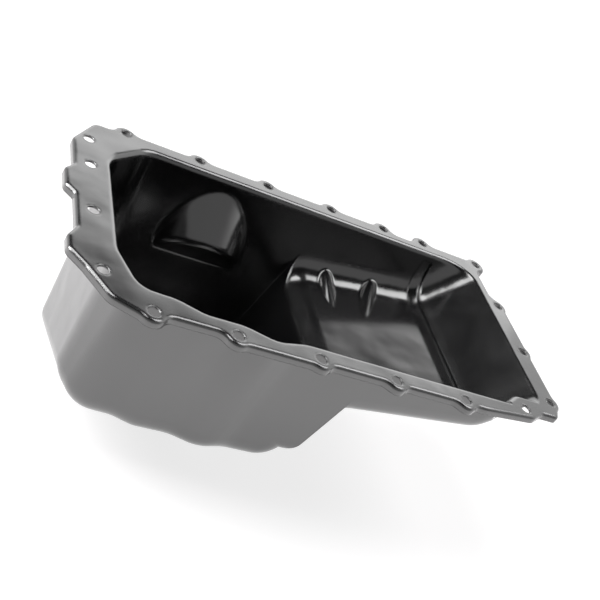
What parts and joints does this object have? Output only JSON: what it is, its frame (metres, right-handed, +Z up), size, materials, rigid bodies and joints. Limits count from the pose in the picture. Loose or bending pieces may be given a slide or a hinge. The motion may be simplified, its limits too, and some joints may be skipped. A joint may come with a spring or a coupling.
{
  "type": "engine oil pan",
  "caption": "Pressed steel engine oil pan with a deep sump, a shallow end, a bolt flange and a drain plug.",
  "frame": {"origin": "middle of the bolt rows on the gasket face", "axes": "+X towards the shallow end, +Y towards the straight side with the dent, +Z up towards the engine"},
  "size_m": [0.43, 0.2374, 0.1615],
  "materials": {
    "pan_paint": "gloss",
    "nut_steel": "gloss",
    "washer_metal": "satin",
    "plug_steel": "satin"
  },
  "bodies": {
    "root": {"oil_pan": "pan_paint", "drain_nut": "nut_steel", "drain_washer": "washer_metal", "drain_plug": "plug_steel"}
  },
  "joints": []
}
